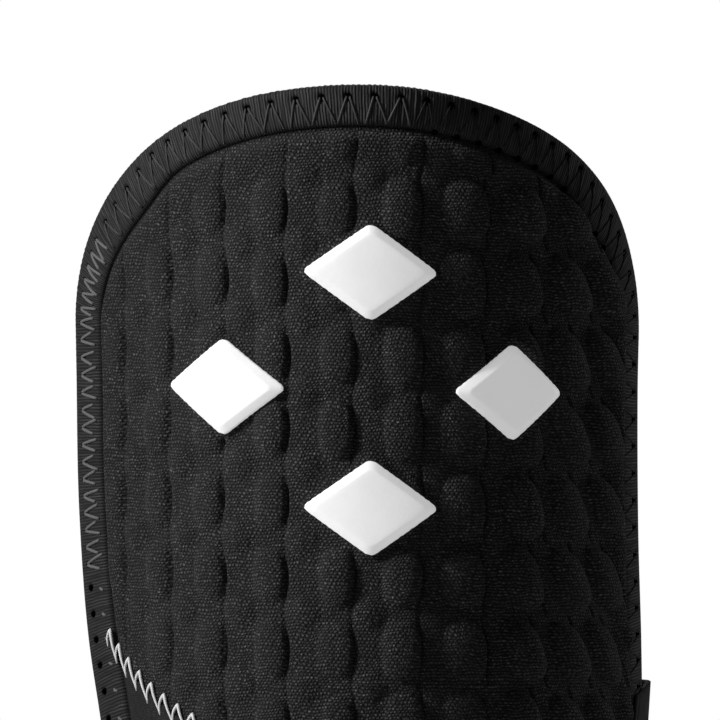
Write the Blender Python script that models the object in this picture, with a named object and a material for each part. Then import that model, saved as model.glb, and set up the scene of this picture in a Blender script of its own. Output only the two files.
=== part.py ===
"""Batter's leg guard: a quilted shin shell with a bound edge, lower panel, raised emblem and two straps.

Metres, +Z up. The guard stands on its lower hem, its front faces -Y, and the wearer's leg stands behind it.
The shell is drawn flat and then wrapped round the shin. On the flat drawing, girth runs sideways from the
front line and rise runs up from the hem. Level is the distance outside the shell's outer face.
"""

import math

import bmesh
import bpy
import numpy as np
from mathutils import Matrix, Vector
from mathutils.geometry import delaunay_2d_cdt

# Overall form
HEIGHT = 0.330
HALF_GIRTH = 0.1047
SECTION_WIDTH = 0.0866
SECTION_DEPTH = 0.128
DOME_HEIGHT = 0.065
DOME_POWER = 1.85
HEM_CORNER = 0.014
ROW_LEAN = 0.026

# Padded wall
WALL = 0.0085
EDGE_WALL = 0.0040
EDGE_DIP = 0.0012
PUFF_HEIGHT = 0.0026
PUFF_RUN = 0.007
COLUMN_PITCH = 0.0182
ROW_PITCH = 0.0194
FIRST_COLUMN = 0.0081
FIRST_ROW = 0.0064
OVAL_REACH = (0.31, 0.40)
NECK_REACH = 0.27
NECK_SHARE = 0.7
SEAM_CLEARANCE = 0.0010

# Edge binding
TAPE_WIDTH = 0.0107
TAPE = 0.0012
TAPE_ROUND = 0.0008
GAP = 0.0003

# Lower panel
PANEL = 0.0012
PANEL_FRONT_RISE = 0.147
PANEL_SIDE_RISE = 0.0389
PANEL_SWEEP = 0.040
PANEL_SIDE = 0.0861

# Raised emblem
EMBLEM_HEIGHT = 0.0024
EMBLEM_BEVEL = 0.0018
EMBLEM_SEAT = 0.0012
EMBLEM_DROP = 0.0803
EMBLEM_SHIFT = -0.001
EMBLEM_SPREAD = 0.0400
EMBLEM_CLIMB = 0.0310
LOZENGE_WIDTH = 0.0180
LOZENGE_HEIGHT = 0.0130
LOZENGE_ROUND = 0.0020
LOZENGE_CELL = 0.0045
PRESS_MARGIN = 0.0016

# Straps
STRAP = 0.0014
STRAP_WIDTH = 0.038
STRAP_SEWN = 0.0100
STRAP_GAP = 0.0006
STRAP_BULGE = 0.056
CALF_STRAP_TOP = 0.1712
ANKLE_STRAP_TOP = 0.0700
TAB = 0.0016
TAB_LENGTH = 0.070
TAB_MARGIN = 0.002

# Mesh fineness
RIM_POINTS = 132
CELL_STEPS = (4, 4)
PLAIN_STEPS = (0.006, 0.012)
STRAP_STATIONS = 30

# How the shell's section grows up the guard. The columns are: share of the height, section size, and how far
# the front line stands forward, as shares of the height, of the section axes and of the section depth.
SECTION_ROWS = (
    (0.00, 0.850, -0.070),
    (0.10, 0.845, -0.085),
    (0.22, 0.880, -0.060),
    (0.36, 0.945, -0.020),
    (0.50, 0.990, 0.000),
    (0.64, 1.000, 0.000),
    (1.00, 1.000, 0.000),
)

# How far the cut edge lies from the front line. The columns are: share of the height, left side and right
# side, both as shares of the half girth.
OUTLINE_ROWS = (
    (0.00, 0.790, 0.810),
    (0.12, 0.760, 0.820),
    (0.24, 0.760, 0.890),
    (0.36, 0.805, 0.995),
    (0.486, 0.877, 1.065),
    (0.55, 0.935, 1.048),
    (0.65, 0.985, 1.012),
    (0.76, 1.000, 1.004),
    (0.86, 1.008, 1.024),
    (0.94, 0.992, 1.000),
    (0.97, 0.990, 0.955),
    (1.00, 1.000, 0.860),
)

# The raised lozenges: name, steps sideways and steps up from the emblem's middle.
LOZENGES = (
    ("top", 0, 1),
    ("left", -1, 0),
    ("right", 1, 0),
    ("bottom", 0, -1),
)


def smooth_row(rows, column, share):
    """A smooth curve through one column of a table, read at a share of the height."""
    stops = np.array([row[0] for row in rows])
    values = np.array([row[column] for row in rows])
    slopes = np.gradient(values, stops)
    share = np.clip(share, 0, 1)
    low = np.clip(np.searchsorted(stops, share, side="right") - 1, 0, len(stops) - 2)
    span = stops[low + 1] - stops[low]
    x = (share - stops[low]) / span
    return (
        (2 * x**3 - 3 * x**2 + 1) * values[low]
        + (x**3 - 2 * x**2 + x) * span * slopes[low]
        + (3 * x**2 - 2 * x**3) * values[low + 1]
        + (x**3 - x**2) * span * slopes[low + 1]
    )


def ease(x):
    """A smooth step from 0 to 1."""
    x = np.clip(x, 0, 1)
    return x * x * (3 - 2 * x)


def arc_table(widest=1.45, steps=600):
    """Angles round the section's ellipse, and the girth from the front line to each."""
    angles = np.linspace(0, widest, steps)
    speed = np.hypot(SECTION_WIDTH * np.cos(angles), SECTION_DEPTH * np.sin(angles))
    girth = np.concatenate([[0], np.cumsum((speed[1:] + speed[:-1]) / 2 * np.diff(angles))])
    return angles, girth


ANGLES, GIRTHS = arc_table()


def wrap(girth, rise, level):
    """Flat drawing to space: points on the shell, level metres outside its outer face."""
    girth, rise, level = np.broadcast_arrays(girth, rise, level)
    share = rise / HEIGHT
    size = smooth_row(SECTION_ROWS, 1, share)
    forward = smooth_row(SECTION_ROWS, 2, share) * SECTION_DEPTH
    angle = np.sign(girth) * np.interp(np.abs(girth) / size, GIRTHS, ANGLES)
    across = SECTION_DEPTH * np.sin(angle)
    along = SECTION_WIDTH * np.cos(angle)
    length = np.hypot(across, along)
    x = size * SECTION_WIDTH * np.sin(angle) + level * across / length
    y = size * SECTION_DEPTH * (1 - np.cos(angle)) - level * along / length - forward
    z = rise * (1 - ROW_LEAN * girth / HEIGHT)
    return np.stack([x, y, z], axis=-1)


def reach(rise, side):
    """Girth from the front line to the cut edge, on the left (side -1) or the right (side 1)."""
    column = 1 if side < 0 else 2
    straight = HALF_GIRTH * smooth_row(OUTLINE_ROWS, column, rise / HEIGHT)
    dome = np.clip((rise - (HEIGHT - DOME_HEIGHT)) / DOME_HEIGHT, 0, 1)
    return straight * np.sqrt(np.clip(1 - dome**DOME_POWER, 0, None))


def resample(points, count):
    """A closed line's points spread evenly along it."""
    closed = np.vstack([points, points[:1]])
    run = np.concatenate([[0], np.cumsum(np.linalg.norm(np.diff(closed, axis=0), axis=1))])
    stops = np.linspace(0, run[-1], count, endpoint=False)
    return np.stack([np.interp(stops, run, closed[:, k]) for k in (0, 1)], axis=-1)


def outer_outline(count):
    """The guard's outline on the flat drawing, from the middle of the hem round by the right."""
    turn = np.linspace(0, math.pi / 2, 24)
    climb = np.linspace(HEM_CORNER, HEIGHT - DOME_HEIGHT, 60)[1:-1]
    dome_turn = np.linspace(0, math.pi / 2, 90)
    dome = HEIGHT - DOME_HEIGHT * (1 - np.sin(dome_turn) ** (2 / DOME_POWER))
    halves = []
    for side in (1, -1):
        corner_rise = HEM_CORNER * (1 - np.cos(turn))
        corner = reach(HEM_CORNER, side) - HEM_CORNER * (1 - np.sin(turn))
        rise = np.concatenate([[0], corner_rise, climb, dome])
        girth = np.concatenate([[0], corner, reach(climb, side), reach(dome, side)])
        halves.append(np.stack([side * girth, rise], axis=-1))
    right, left = halves
    return resample(np.vstack([right[:-1], left[:0:-1]]), count)


def inset(outline, distance):
    """A closed line moved inward."""
    ahead = np.roll(outline, -1, axis=0) - np.roll(outline, 1, axis=0)
    ahead /= np.linalg.norm(ahead, axis=1, keepdims=True)
    inward = np.stack([-ahead[:, 1], ahead[:, 0]], axis=-1)
    return outline + inward * distance


def edge_distance(points, outline):
    """How far points lie inside a closed line; points outside get less than 0."""
    start = outline
    step = np.roll(outline, -1, axis=0) - outline
    offset = points[:, None, :] - start[None]
    share = np.clip((offset * step).sum(-1) / (step**2).sum(-1), 0, 1)
    gap = np.linalg.norm(offset - share[..., None] * step, axis=-1).min(axis=1)
    x, y = points[:, 0:1], points[:, 1:2]
    x0, y0 = start[:, 0], start[:, 1]
    x1, y1 = x0 + step[:, 0], y0 + step[:, 1]
    crosses = (y0 > y) != (y1 > y)
    rise = np.where(crosses, y1 - y0, 1)
    hit = crosses & (x < x0 + (y - y0) * (x1 - x0) / rise)
    inside = hit.sum(axis=1) % 2 == 1
    return np.where(inside, gap, -gap)


def lattice(outline, margin, steps, start=(0.0, 0.0)):
    """Points on an even lattice, at least margin inside a closed line."""
    low, high = outline.min(axis=0), outline.max(axis=0)
    lines = []
    for k in (0, 1):
        first = start[k] + math.ceil((low[k] - start[k]) / steps[k]) * steps[k]
        lines.append(np.arange(first, high[k], steps[k]))
    points = np.stack(np.meshgrid(*lines), axis=-1).reshape(-1, 2)
    return points[edge_distance(points, outline) > margin]


def seam_rise(girth):
    """Height of the panel's upper seam: high at the left rim, level across the front."""
    return PANEL_FRONT_RISE + PANEL_SIDE_RISE * np.exp(-(girth + PANEL_SIDE) / PANEL_SWEEP)


def lozenge(steps_across, steps_up, count=28):
    """One lozenge's outline with rounded corners, on the flat drawing."""
    middle = np.array([
        EMBLEM_SHIFT + EMBLEM_SPREAD * steps_across,
        HEIGHT - EMBLEM_DROP + EMBLEM_CLIMB * steps_up,
    ])
    corners = np.array([(1, 0), (0, 1), (-1, 0), (0, -1)]) * (LOZENGE_WIDTH, LOZENGE_HEIGHT)
    line = []
    for corner, before, after in zip(corners, np.roll(corners, 1, axis=0), np.roll(corners, -1, axis=0)):
        back = (before - corner) / np.linalg.norm(before - corner)
        on = (after - corner) / np.linalg.norm(after - corner)
        for share in np.linspace(0, 1, 7):
            line.append(corner + LOZENGE_ROUND * ((1 - share) ** 2 * back + share**2 * on))
    return middle + resample(np.array(line), count)


def puff(girth, rise):
    """Height of the quilting, from 0 in its valleys to 1 on the tall ovals."""
    column = (girth - FIRST_COLUMN) / COLUMN_PITCH
    row = (rise - FIRST_ROW) / ROW_PITCH
    across, up = column - np.round(column), row - np.round(row)
    oval = 1 - np.abs(across / OVAL_REACH[0]) ** 2.2 - np.abs(up / OVAL_REACH[1]) ** 2.4
    across, up = np.abs(np.abs(across) - 0.5), np.abs(np.abs(up) - 0.5)
    neck = 1 - (across + up) / NECK_REACH
    return np.maximum(np.clip(oval, 0, None) ** 0.6, NECK_SHARE * np.clip(neck, 0, None) ** 0.8)


OUTLINE = outer_outline(RIM_POINTS)
BLANK = inset(OUTLINE, TAPE + GAP)
SEWN_LINE = inset(OUTLINE, TAPE_WIDTH + GAP)
LOZENGE_LINES = {name: lozenge(across, up) for name, across, up in LOZENGES}
PRESSED_LINES = {name: inset(line, -PRESS_MARGIN) for name, line in LOZENGE_LINES.items()}
TAPE_FRONT = -EDGE_DIP + GAP
TAPE_BACK = -EDGE_DIP - EDGE_WALL - GAP


def outer_level(points):
    """Level of the shell's outer face: flat under the tape and panel, quilted elsewhere."""
    girth, rise = points[:, 0], points[:, 1]
    run = ease(edge_distance(points, SEWN_LINE) / PUFF_RUN)
    run *= ease((rise - seam_rise(girth) - SEAM_CLEARANCE) / PUFF_RUN)
    top = PUFF_HEIGHT * puff(girth, rise) * run - EDGE_DIP * (1 - run)
    for line in PRESSED_LINES.values():
        pressed = edge_distance(points, line) > -GAP
        top = np.where(pressed, np.minimum(top, EMBLEM_SEAT - GAP), top)
    return top


def inner_level(points):
    """Level of the shell's inner face: smooth, and nearer to the outer face at the rim."""
    run = ease(edge_distance(points, SEWN_LINE) / PUFF_RUN)
    return -EDGE_DIP - EDGE_WALL - (WALL - EDGE_WALL - EDGE_DIP) * run


def triangles(outline, inner_lines, points):
    """Corner list of a flat region: its outline, lines kept inside it, and free points."""
    corners = [Vector(p) for p in outline]
    edges = [(k, (k + 1) % len(outline)) for k in range(len(outline))]
    for line, closed in inner_lines:
        first = len(corners)
        corners += [Vector(p) for p in line]
        edges += [(first + k, first + k + 1) for k in range(len(line) - 1)]
        if closed:
            edges.append((first + len(line) - 1, first))
    corners += [Vector(p) for p in points]
    flat = delaunay_2d_cdt(corners, edges, [list(range(len(outline)))], 1, 1e-7)
    return np.array([tuple(c) for c in flat[0]]), flat[2], flat[3]


def new_object(name, form, material):
    """A named piece from a built form, in the guard's collection."""
    bmesh.ops.triangulate(form, faces=[f for f in form.faces if len(f.verts) > 3])
    bmesh.ops.recalc_face_normals(form, faces=form.faces[:])
    mesh = bpy.data.meshes.new(name)
    form.to_mesh(mesh)
    form.free()
    mesh.shade_smooth()
    mesh.set_sharp_from_angle(angle=math.radians(40))
    mesh.materials.append(material)
    body = bpy.data.objects.new(name, mesh)
    PARTS.objects.link(body)
    return body


def layered_solid(name, outline, front, back, material):
    """A closed solid between two faces that share an outline.

    front and back are each (lines kept, free points, function of the level).
    """
    form = bmesh.new()
    rims = []
    for (lines, points, level), facing in ((front, 1), (back, -1)):
        flat, faces, sources = triangles(outline, lines, points)
        place = wrap(flat[:, 0], flat[:, 1], level(flat))
        corners = [form.verts.new(p) for p in place]
        for face in faces:
            form.faces.new([corners[k] for k in face[::facing]])
        rim = [None] * len(outline)
        for corner, origins in zip(corners, sources):
            for origin in origins:
                if origin < len(outline):
                    rim[origin] = corner
        rims.append(rim)
    front_rim, back_rim = rims
    for k in range(len(outline)):
        n = (k + 1) % len(outline)
        form.faces.new([front_rim[n], front_rim[k], back_rim[k], back_rim[n]])
    return new_object(name, form, material)


def swept_solid(name, rings, material, closed):
    """A closed solid through rings of points, joined end to end or capped."""
    form = bmesh.new()
    loops = [[form.verts.new(p) for p in ring] for ring in rings]
    count = len(loops)
    for k in range(count if closed else count - 1):
        here, there = loops[k], loops[(k + 1) % count]
        for j in range(len(here)):
            n = (j + 1) % len(here)
            form.faces.new([here[j], here[n], there[n], there[j]])
    if not closed:
        form.faces.new(loops[0][::-1])
        form.faces.new(loops[-1])
    return new_object(name, form, material)


def quilted_shell(material):
    cell = (COLUMN_PITCH / CELL_STEPS[0], ROW_PITCH / CELL_STEPS[1])
    quilt = lattice(SEWN_LINE, cell[0] * 0.4, cell, (FIRST_COLUMN, FIRST_ROW))
    quilt = quilt[quilt[:, 1] > seam_rise(quilt[:, 0]) + cell[1] * 0.6]
    plain = lattice(SEWN_LINE, PLAIN_STEPS[0] / 2, PLAIN_STEPS)
    plain = plain[plain[:, 1] < seam_rise(plain[:, 0]) - PLAIN_STEPS[0] / 2]
    for line in PRESSED_LINES.values():
        beside = np.abs(edge_distance(quilt, line))
        quilt = quilt[beside > cell[0] * 0.35]
    across = np.arange(-HALF_GIRTH, HALF_GIRTH, PLAIN_STEPS[0])
    seam = np.stack([across, seam_rise(across) + PRESS_MARGIN / 2], axis=-1)
    seam = seam[edge_distance(seam, SEWN_LINE) > PRESS_MARGIN]
    lines = [(SEWN_LINE, True), (seam, False)]
    lines += [(line, True) for line in PRESSED_LINES.values()]
    smooth = lattice(SEWN_LINE, PLAIN_STEPS[0] / 2, PLAIN_STEPS)
    front = (lines, np.vstack([quilt, plain]), outer_level)
    back = (lines[:1], smooth, inner_level)
    return layered_solid("quilted_shell", BLANK, front, back, material)


def edge_binding(material):
    front_out, back_out = TAPE_FRONT + TAPE, TAPE_BACK - TAPE
    section = (
        (TAPE_WIDTH, TAPE_FRONT),
        (TAPE_WIDTH, front_out),
        (TAPE_ROUND, front_out),
        (0, front_out - TAPE_ROUND),
        (0, back_out + TAPE_ROUND),
        (TAPE_ROUND, back_out),
        (TAPE_WIDTH, back_out),
        (TAPE_WIDTH, TAPE_BACK),
        (TAPE, TAPE_BACK),
        (TAPE, TAPE_FRONT),
    )
    lines = []
    for distance, level in section:
        line = inset(OUTLINE, distance)
        lines.append(wrap(line[:, 0], line[:, 1], level))
    rings = np.stack(lines, axis=1)
    return swept_solid("edge_binding", rings, material, True)


def lower_panel(material):
    line = inset(OUTLINE, TAPE_WIDTH + 2 * GAP)
    below = line[:, 1] < seam_rise(line[:, 0]) - PLAIN_STEPS[0] / 2
    half = len(line) // 2
    right, left = line[:half][below[:half]], line[half:][below[half:]]
    across = np.linspace(right[-1, 0], left[0, 0], 40)[1:-1]
    seam = np.stack([across, seam_rise(across)], axis=-1)
    outline = np.vstack([right, seam, left])
    inner = lattice(outline, PLAIN_STEPS[0] / 2, PLAIN_STEPS)

    def under(points):
        return outer_level(points) + GAP

    def over(points):
        return outer_level(points) + GAP + PANEL

    return layered_solid("lower_panel", outline, ([], inner, over), ([], inner, under), material)


def emblem_piece(name, material):
    line = LOZENGE_LINES[name]
    ridge = inset(line, EMBLEM_BEVEL)
    inner = lattice(ridge, LOZENGE_CELL / 3, (LOZENGE_CELL, LOZENGE_CELL))

    def over(points):
        slope = np.clip(edge_distance(points, line) / EMBLEM_BEVEL, 0, 1)
        return EMBLEM_SEAT + EMBLEM_HEIGHT * (0.35 + 0.65 * slope)

    def under(points):
        return np.full(len(points), EMBLEM_SEAT)

    front = ([(ridge, True)], inner, over)
    return layered_solid(f"emblem_{name}", line, front, ([], inner, under), material)


def strap_path(rise):
    """Middle of a strap in plan at one height, from the right rim's outside round to the left rim's inside."""
    outside = TAPE_FRONT + TAPE + STRAP_GAP + STRAP / 2
    inside = TAPE_BACK - TAPE - STRAP_GAP - STRAP / 2
    right, left = reach(rise, 1), -reach(rise, -1)
    on_right = wrap(np.linspace(right - STRAP_SEWN, right, 4), rise, outside)
    on_left = wrap(np.linspace(left, left + STRAP_SEWN, 4), rise, inside)
    leave = on_right[-1] - on_right[-2]
    arrive = on_left[0] - on_left[1]
    leave *= STRAP_BULGE / np.linalg.norm(leave)
    arrive *= STRAP_BULGE / np.linalg.norm(arrive)
    share = np.linspace(0, 1, STRAP_STATIONS)[1:-1, None]
    behind = (
        (1 - share) ** 3 * on_right[-1]
        + 3 * (1 - share) ** 2 * share * (on_right[-1] + leave)
        + 3 * (1 - share) * share**2 * (on_left[0] + arrive)
        + share**3 * on_left[0]
    )
    path = np.vstack([on_right, behind, on_left])
    path[:, 2] = rise
    return path


def band_rings(low, high, near, far):
    """Rings of a flat band between two edge lines, from near to far outside its middle."""
    rings = []
    for k in range(len(low)):
        ring = []
        for line, offset in ((low, near), (high, near), (high, far), (low, far)):
            ahead = line[min(k + 1, len(line) - 1)] - line[max(k - 1, 0)]
            out = np.array([ahead[1], -ahead[0], 0]) / math.hypot(ahead[0], ahead[1])
            ring.append(line[k] + out * offset)
        rings.append(ring)
    return rings


def strap(name, top, material):
    rings = band_rings(strap_path(top - STRAP_WIDTH), strap_path(top), -STRAP / 2, STRAP / 2)
    return swept_solid(name, rings, material, False)


def strap_tab(name, top, material):
    """The strap's free end, held down on the strap's outside behind the calf."""
    low = strap_path(top - STRAP_WIDTH + TAB_MARGIN)
    high = strap_path(top - TAB_MARGIN)
    run = np.cumsum(np.linalg.norm(np.diff(high, axis=0), axis=1))
    middle = run[-1] / 2
    kept = np.flatnonzero(np.abs(run - middle) < TAB_LENGTH / 2)
    span = slice(kept[0], kept[-1] + 2)
    near = STRAP / 2 + GAP
    rings = band_rings(low[span], high[span], near, near + TAB)
    return swept_solid(name, rings, material, False)


def plain_material(name, colour, roughness):
    material = bpy.data.materials.new(name)
    material.use_nodes = True
    shader = material.node_tree.nodes["Principled BSDF"]
    shader.inputs["Base Color"].default_value = (*colour, 1)
    shader.inputs["Roughness"].default_value = roughness
    shader.inputs["Metallic"].default_value = 0
    material.diffuse_color = (*colour, 1)
    return material


def stand_on_floor(bodies):
    """Centre the whole over the origin, with the hem on the floor."""
    points = np.array([tuple(v.co) for body in bodies for v in body.data.vertices])
    low, high = points.min(axis=0), points.max(axis=0)
    shift = Vector((-(low[0] + high[0]) / 2, -(low[1] + high[1]) / 2, -low[2]))
    for body in bodies:
        body.data.transform(Matrix.Translation(shift))


def build():
    cover = plain_material("quilted_knit", (0.020, 0.020, 0.021), 0.85)
    tape = plain_material("binding_tape", (0.018, 0.018, 0.019), 0.80)
    panel = plain_material("smooth_knit", (0.024, 0.024, 0.025), 0.80)
    emblem = plain_material("white_emblem", (0.82, 0.82, 0.82), 0.35)
    elastic = plain_material("strap_elastic", (0.020, 0.020, 0.021), 0.85)
    hook = plain_material("hook_tab", (0.016, 0.016, 0.017), 0.90)
    bodies = [quilted_shell(cover), edge_binding(tape), lower_panel(panel)]
    bodies += [emblem_piece(name, emblem) for name in LOZENGE_LINES]
    for name, top in (("calf_strap", CALF_STRAP_TOP), ("ankle_strap", ANKLE_STRAP_TOP)):
        bodies.append(strap(name, top, elastic))
        bodies.append(strap_tab(f"{name}_tab", top, hook))
    stand_on_floor(bodies)


for leftover in list(bpy.data.objects):
    bpy.data.objects.remove(leftover)
PARTS = bpy.data.collections.new("batters_leg_guard")
bpy.context.scene.collection.children.link(PARTS)
build()
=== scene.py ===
"""Looks of the batter's leg guard: knit cover over quilted foam, edge tape, stitching, emblem and straps.

The soft pieces are drawn flat and wrapped round the shin. On the flat drawing, girth runs sideways from
the front line and rise runs up from the hem, both in metres. Level is the distance outside the shell's
outer face.
"""

import math

import bmesh
import bpy
import numpy as np
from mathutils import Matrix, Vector


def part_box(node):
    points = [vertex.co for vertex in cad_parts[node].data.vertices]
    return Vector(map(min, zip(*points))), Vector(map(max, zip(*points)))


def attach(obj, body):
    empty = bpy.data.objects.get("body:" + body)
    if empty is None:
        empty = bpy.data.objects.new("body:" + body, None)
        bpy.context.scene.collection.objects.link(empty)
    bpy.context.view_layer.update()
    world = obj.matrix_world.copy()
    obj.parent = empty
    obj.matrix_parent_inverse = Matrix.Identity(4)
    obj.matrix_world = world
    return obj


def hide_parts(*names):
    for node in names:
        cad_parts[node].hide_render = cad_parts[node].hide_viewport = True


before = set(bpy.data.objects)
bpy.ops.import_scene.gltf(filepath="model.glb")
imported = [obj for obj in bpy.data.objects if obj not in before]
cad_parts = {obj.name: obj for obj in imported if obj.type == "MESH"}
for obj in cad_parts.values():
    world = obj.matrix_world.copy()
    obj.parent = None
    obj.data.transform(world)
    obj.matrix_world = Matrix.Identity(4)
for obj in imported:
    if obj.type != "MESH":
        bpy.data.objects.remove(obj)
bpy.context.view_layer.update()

MM = 0.001

# Form of the shell, as the solids have it
HEIGHT = 330 * MM
HALF_GIRTH = 104.7 * MM
SECTION_WIDTH = 86.6 * MM
SECTION_DEPTH = 128 * MM
DOME_HEIGHT = 65 * MM
DOME_POWER = 1.85
HEM_CORNER = 14 * MM
ROW_LEAN = 0.026
WALL = 8.5 * MM
EDGE_WALL = 4.0 * MM
EDGE_DIP = 1.2 * MM
TAPE_WIDTH = 10.7 * MM
TAPE = 1.2 * MM
GAP = 0.3 * MM

# Edge tape, and how much wider it is on the sides
TAPE_STATIONS = 2200
TAPE_ROUND = 0.9 * MM
RIB_PITCH = 1.65 * MM
RIB_HEIGHT = 0.26 * MM
SIDE_TAPE = 0.27

# Stitches and needle holes of the tape. Along the upper left edge the stitches are close, and painted grey
# where the light falls on them.
STITCH = 7.15 * MM
CLOSE_STITCH = 4.6 * MM
CLOSE_FROM = 199 * MM
CLOSE_TO = 290 * MM
GREY_TO = 292 * MM
DULL_TO_GIRTH = 12 * MM
NEEDLE_INSET = 3.0 * MM
HOLE_SPAN = 6.6 * MM
DIMPLE_DEPTH = 0.9 * MM
DIMPLE_RADIUS = 0.95 * MM
PIT_RADIUS = 0.95 * MM
PIT_DEPTH = 0.62 * MM
SEAM_PIT_DEPTH = 0.25 * MM
DARK_THREAD = 0.20 * MM
DULL_THREAD = 0.34 * MM
GREY_THREAD = 0.42 * MM

# The panel's upper seam: its height in front, its climb to the left rim, and how fast it climbs
SEAM_LEVEL = 147 * MM
SEAM_CLIMB = 38.9 * MM
SEAM_LEFT = 86.1 * MM
SEAM_RUN = 40 * MM
ZIGZAG_PITCH = 5.7 * MM
ZIGZAG_HEIGHT = 6.6 * MM
ZIGZAG_START = -84.6 * MM

# How near the outline the cloths end, hidden under the tape
CLOTH_INSET = 8.6 * MM
LINING_INSET = 5 * MM
PANEL_LOW = 7 * MM

# Quilting
COLUMN_PITCH = 18.2 * MM
ROW_PITCH = 19.4 * MM
FIRST_COLUMN = 8.1 * MM
FIRST_ROW = 6.4 * MM
PUFF_HEIGHT = 1.75 * MM
SIDE_PUFF = 1.2
WIDE_OVALS = 0.09
PUFF_RUN = 3.2 * MM
CREASE_SHARE = 0.42
CREASE_WIDTH = 0.021
SIDE_LEAN = 0.85
COVER_STEPS = (0.52 * MM, 0.80 * MM)
SEAM_DROP = 3.4 * MM
OVAL_HALF = (0.27, 0.40)
NECK_HALF = (0.27, 0.25)
NECK_SHARE = 0.62

# The raised roll beside the tape, and from what height the creases run on into it
SHOULDER = 0.62
PINCH_INSET = 4 * MM
PINCH_RUN = 9 * MM
PINCH_FROM = 250 * MM

# How the shell's section grows up the guard: share of the height, section size, forward share of the depth.
SECTION_ROWS = (
    (0.00, 0.850, -0.070),
    (0.10, 0.845, -0.085),
    (0.22, 0.880, -0.060),
    (0.36, 0.945, -0.020),
    (0.50, 0.990, 0.000),
    (0.64, 1.000, 0.000),
    (1.00, 1.000, 0.000),
)

# How far the cut edge lies from the front line: share of the height, left and right share of the half girth.
OUTLINE_ROWS = (
    (0.00, 0.790, 0.810),
    (0.12, 0.760, 0.820),
    (0.24, 0.760, 0.890),
    (0.36, 0.805, 0.995),
    (0.486, 0.877, 1.065),
    (0.55, 0.935, 1.048),
    (0.65, 0.985, 1.012),
    (0.76, 1.000, 1.004),
    (0.86, 1.008, 1.024),
    (0.94, 0.992, 1.000),
    (0.97, 0.990, 0.955),
    (1.00, 1.000, 0.860),
)

# The raised lozenges: name, steps sideways and steps up from the emblem's middle.
LOZENGES = (
    ("top", 0, 1),
    ("left", -1, 0),
    ("right", 1, 0),
    ("bottom", 0, -1),
)
EMBLEM_RISE = 249.7 * MM
EMBLEM_SHIFT = -1 * MM
EMBLEM_SPREAD = 40 * MM
EMBLEM_CLIMB = 31 * MM
LOZENGE_WIDTH = 18 * MM
LOZENGE_HEIGHT = 13 * MM
LOZENGE_ROUND = 2 * MM
EMBLEM_SEAT = 1.2 * MM
HELD_ROUND = 1.6 * MM

# Straps
STRAP = 1.4 * MM
STRAP_WIDTH = 38 * MM
STRAP_SEWN = 10 * MM
STRAP_GAP = 0.6 * MM
STRAP_BULGE = 56 * MM
STRAP_TOPS = {"calf_strap": 171.2 * MM, "ankle_strap": 70 * MM}
TAB = 1.6 * MM
TAB_LENGTH = 70 * MM
TAB_MARGIN = 2 * MM


def smooth_row(rows, column, share):
    """A smooth curve through one column of a table, read at a share of the height."""
    stops = np.array([row[0] for row in rows])
    values = np.array([row[column] for row in rows])
    slopes = np.gradient(values, stops)
    share = np.clip(share, 0, 1)
    low = np.clip(np.searchsorted(stops, share, side="right") - 1, 0, len(stops) - 2)
    span = stops[low + 1] - stops[low]
    x = (share - stops[low]) / span
    return (
        (2 * x**3 - 3 * x**2 + 1) * values[low]
        + (x**3 - 2 * x**2 + x) * span * slopes[low]
        + (3 * x**2 - 2 * x**3) * values[low + 1]
        + (x**3 - x**2) * span * slopes[low + 1]
    )


def line_lengths(points):
    """The way along a line to each of its points."""
    return np.concatenate([[0], np.cumsum(np.linalg.norm(np.diff(points, axis=0), axis=1))])


def closed_line(points):
    """A closed line's points with the first one again at the end."""
    return np.vstack([points, points[:1]])


def ease(x):
    """A smooth step from 0 to 1."""
    x = np.clip(x, 0, 1)
    return x * x * (3 - 2 * x)


def arc_table(widest=1.45, steps=600):
    """Angles round the section's ellipse, and the girth from the front line to each."""
    angles = np.linspace(0, widest, steps)
    speed = np.hypot(SECTION_WIDTH * np.cos(angles), SECTION_DEPTH * np.sin(angles))
    girth = np.concatenate([[0], np.cumsum((speed[1:] + speed[:-1]) / 2 * np.diff(angles))])
    return angles, girth


ANGLES, GIRTHS = arc_table()


def wrap_round(girth, rise, level):
    """Flat drawing to space, with the front line at x = 0, y = 0."""
    girth, rise, level = np.broadcast_arrays(girth, rise, level)
    share = rise / HEIGHT
    size = smooth_row(SECTION_ROWS, 1, share)
    forward = smooth_row(SECTION_ROWS, 2, share) * SECTION_DEPTH
    angle = np.sign(girth) * np.interp(np.abs(girth) / size, GIRTHS, ANGLES)
    across = SECTION_DEPTH * np.sin(angle)
    along = SECTION_WIDTH * np.cos(angle)
    length = np.hypot(across, along)
    x = size * SECTION_WIDTH * np.sin(angle) + level * across / length
    y = size * SECTION_DEPTH * (1 - np.cos(angle)) - level * along / length - forward
    z = rise * (1 - ROW_LEAN * girth / HEIGHT)
    return np.stack([x, y, z], axis=-1)


def reach(rise, side):
    """Girth from the front line to the cut edge, on the left (side -1) or the right (side 1)."""
    column = 1 if side < 0 else 2
    straight = HALF_GIRTH * smooth_row(OUTLINE_ROWS, column, rise / HEIGHT)
    dome = np.clip((rise - (HEIGHT - DOME_HEIGHT)) / DOME_HEIGHT, 0, 1)
    return straight * np.sqrt(np.clip(1 - dome**DOME_POWER, 0, None))


def resample(points, count):
    """A closed line's points spread evenly along it."""
    closed = closed_line(points)
    run = line_lengths(closed)
    stops = np.linspace(0, run[-1], count, endpoint=False)
    return np.stack([np.interp(stops, run, closed[:, k]) for k in (0, 1)], axis=-1)


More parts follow.
